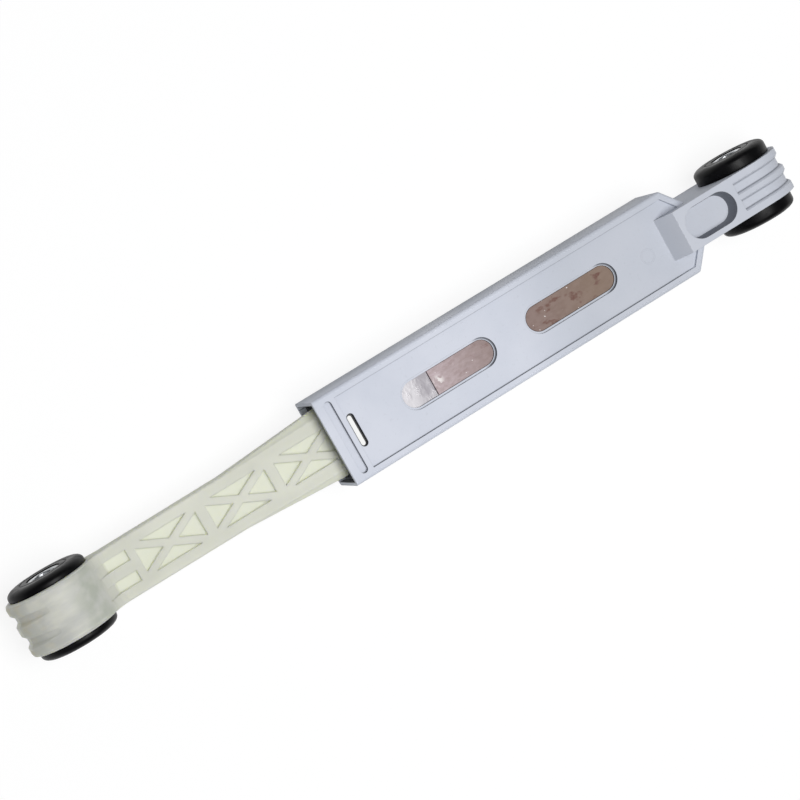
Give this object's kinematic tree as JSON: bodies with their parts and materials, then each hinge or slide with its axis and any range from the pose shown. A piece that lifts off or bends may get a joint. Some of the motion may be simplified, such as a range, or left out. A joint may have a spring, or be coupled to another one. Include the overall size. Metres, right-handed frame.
{
  "type": "washing machine shock absorber",
  "caption": "Flat friction damper strut for a washing machine tub: windowed moulded case, X-braced sliding rod and a rubber-bushed bolt eye at each end.",
  "frame": {"origin": "centre of the bolt bore in the housing eye", "axes": "+X along the strut to the rod eye, +Y along the bolts, +Z out of the wide front face"},
  "size_m": [0.2894, 0.0294, 0.0294],
  "materials": {
    "housing_plastic": "satin",
    "rod_plastic": "satin",
    "guide_plastic": "satin",
    "friction_lining": "greased",
    "bush_rubber": "satin",
    "zinc_steel": "zinc plated"
  },
  "bodies": {
    "housing": {"housing": "housing_plastic", "front_lining": "friction_lining", "rear_lining": "friction_lining", "front_guide": "guide_plastic", "rear_guide": "guide_plastic", "housing_bush": "bush_rubber"},
    "rod": {"piston_rod": "rod_plastic", "rod_bush": "bush_rubber"},
    "housing_sleeve": {"housing_sleeve": "zinc_steel"},
    "rod_sleeve": {"rod_sleeve": "zinc_steel"}
  },
  "joints": [
    {"name": "rod_slide", "type": "slide", "parent": "housing", "child": "rod", "axis": [1, 0, 0], "range_m": [-0.06, 0]},
    {"name": "housing_sleeve_twist", "type": "hinge", "parent": "housing", "child": "housing_sleeve", "pos_m": [0, 0, 0], "axis": [0, 1, 0], "range_deg": [-15, 15], "stiffness_Nm_per_rad": 6},
    {"name": "rod_sleeve_twist", "type": "hinge", "parent": "rod", "child": "rod_sleeve", "pos_m": [0.26, 0, 0], "axis": [0, 1, 0], "range_deg": [-15, 15], "stiffness_Nm_per_rad": 6}
  ]
}
